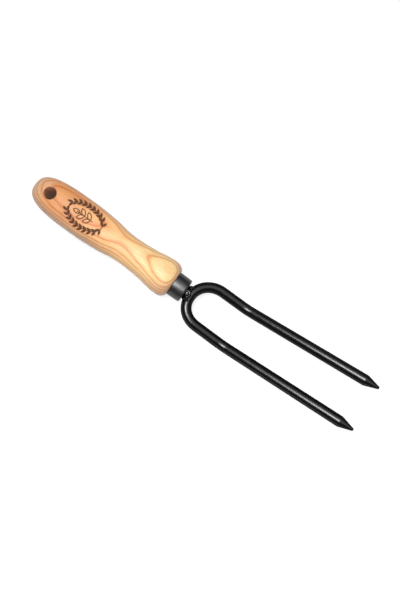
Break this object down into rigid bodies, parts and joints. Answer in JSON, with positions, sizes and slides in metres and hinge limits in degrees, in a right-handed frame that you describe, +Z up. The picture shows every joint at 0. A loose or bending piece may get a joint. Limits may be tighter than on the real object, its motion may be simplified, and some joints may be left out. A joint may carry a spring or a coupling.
{
  "type": "hand weeder",
  "caption": "Hand weeder: a cranked fork of round bar, welded to a tang that runs through a ferrule into a turned ash handle with a hanging hole.",
  "frame": {"origin": "on the table, under the middle of the whole tool's box, with the tool lying on the handle's pommel and the undersides of the two cranks", "axes": "+X from the handle's butt to the tips of the tines, +Z up, on the side that the tines crank towards, +Y to the left of someone who holds the handle and looks at the tips"},
  "size_m": [0.2812, 0.0416, 0.0371],
  "materials": {
    "ash_wood": "sanded and lacquered, satin",
    "blued_steel": "dark satin",
    "bare_steel": "plain rolled",
    "black_coating": "semi-gloss powder coat"
  },
  "bodies": {
    "root": {"handle": "ash_wood", "ferrule": "blued_steel", "tang": "bare_steel", "tine_fork": "black_coating", "weld_bead": "black_coating"}
  },
  "joints": []
}
